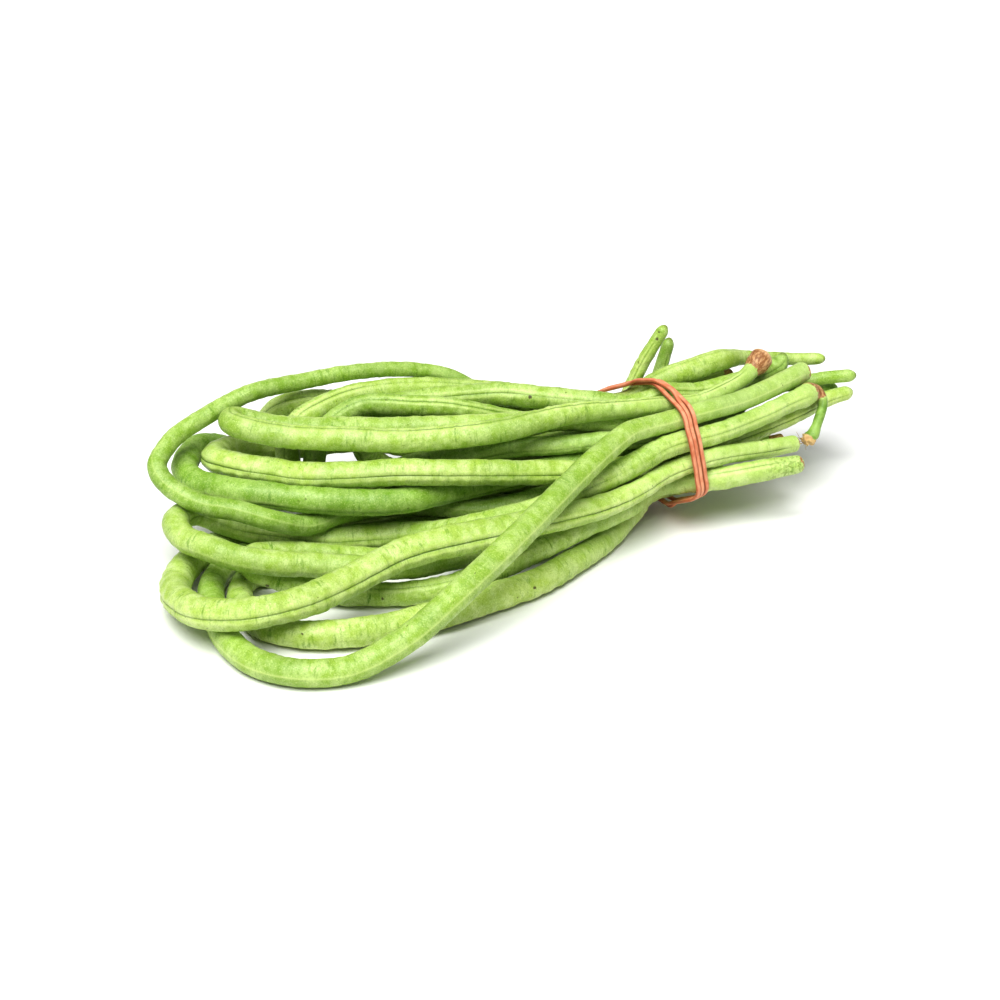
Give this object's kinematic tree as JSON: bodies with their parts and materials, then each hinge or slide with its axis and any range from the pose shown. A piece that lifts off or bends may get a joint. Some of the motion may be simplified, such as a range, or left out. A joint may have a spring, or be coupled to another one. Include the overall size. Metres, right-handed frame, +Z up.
{
  "type": "yardlong bean bunch",
  "caption": "Lying bunch of long slender green bean pods, each folded double into loops at one end and cinched near the stem ends by a thin wound rubber band.",
  "frame": {"origin": "centre of the footprint, on the surface that the bunch lies on", "axes": "+X along the bunch from the folded loops toward the stem ends, +Y away from the viewer across the bunch, +Z up from the surface"},
  "size_m": [0.2486, 0.13, 0.0562],
  "materials": {
    "pod_skin": "satin waxy skin, yellow green, finely wrinkled",
    "band_rubber": "matte salmon rubber"
  },
  "bodies": {
    "root": {"pod_arch": "pod_skin", "pod_top": "pod_skin", "pod_upper": "pod_skin", "pod_outer": "pod_skin", "pod_middle": "pod_skin", "pod_fat": "pod_skin", "pod_front": "pod_skin", "pod_low": "pod_skin", "pod_bottom": "pod_skin", "pod_back": "pod_skin", "pod_inner": "pod_skin", "pod_rear": "pod_skin", "pod_shoulder": "pod_skin", "rubber_band": "band_rubber"}
  },
  "joints": []
}
